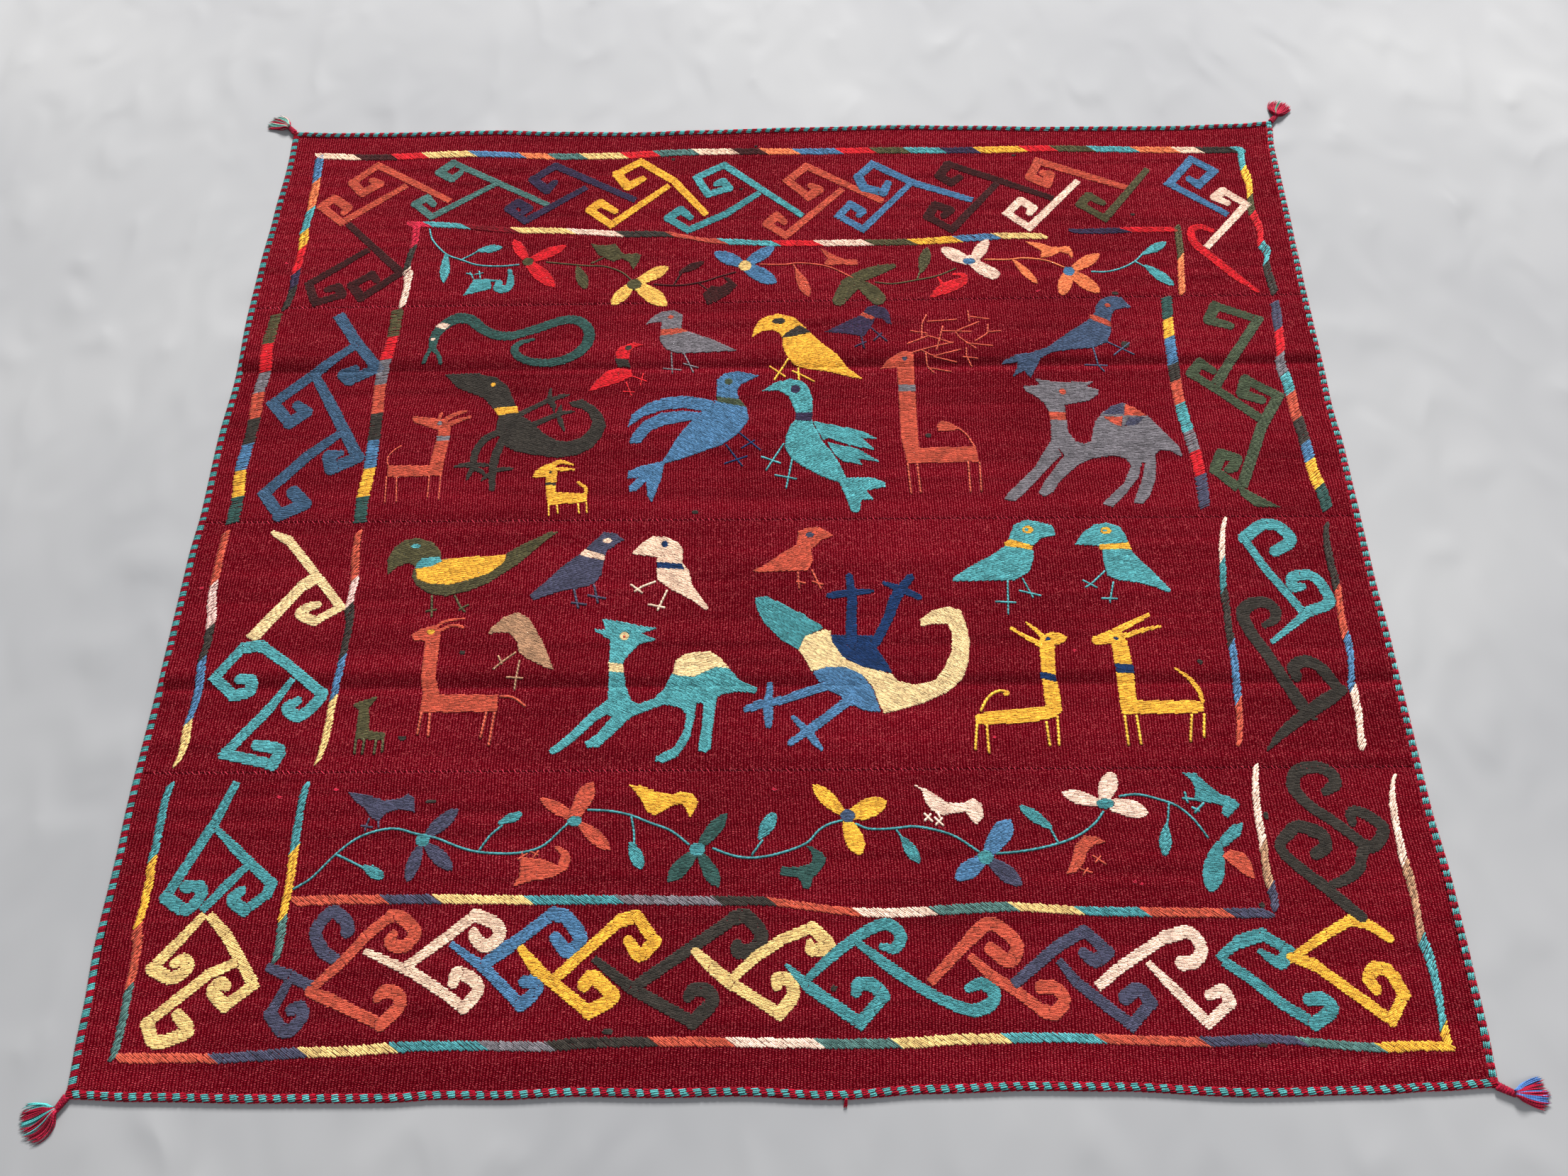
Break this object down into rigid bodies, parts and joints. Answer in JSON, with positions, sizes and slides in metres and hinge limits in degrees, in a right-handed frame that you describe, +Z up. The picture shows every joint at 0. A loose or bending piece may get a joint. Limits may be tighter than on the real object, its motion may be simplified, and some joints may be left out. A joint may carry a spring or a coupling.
{
  "type": "patchwork kilim rug",
  "caption": "Flat wool rug sewn from red woven strips, embroidered with animals, birds and hooked scrolls, with a wrapped two-colour edge and corner tassels.",
  "frame": {"origin": "on the floor under the middle of the rug", "axes": "+Z up, +X along the woven strips, +Y across them towards the far strip"},
  "size_m": [1.9175, 1.7569, 0.0092],
  "materials": {
    "strip_wool": "matt warp-faced weave",
    "edge_wool": "matt wrapped wool yarn in teal and red blocks",
    "tassel_wool": "matt loose wool yarn",
    "embroidery_wool": "matt wool yarn in laid stitches, in many colours",
    "seam_wool": "matt wool yarn in short slanting stitches"
  },
  "bodies": {
    "root": {"strip_1": "strip_wool", "strip_2": "strip_wool", "strip_3": "strip_wool", "strip_4": "strip_wool", "edge_far": "edge_wool", "edge_near": "edge_wool", "edge_left": "edge_wool", "edge_right": "edge_wool", "tassel_far_left": "tassel_wool", "tassel_far_right": "tassel_wool", "tassel_near_left": "tassel_wool", "tassel_near_right": "tassel_wool"}
  },
  "joints": []
}
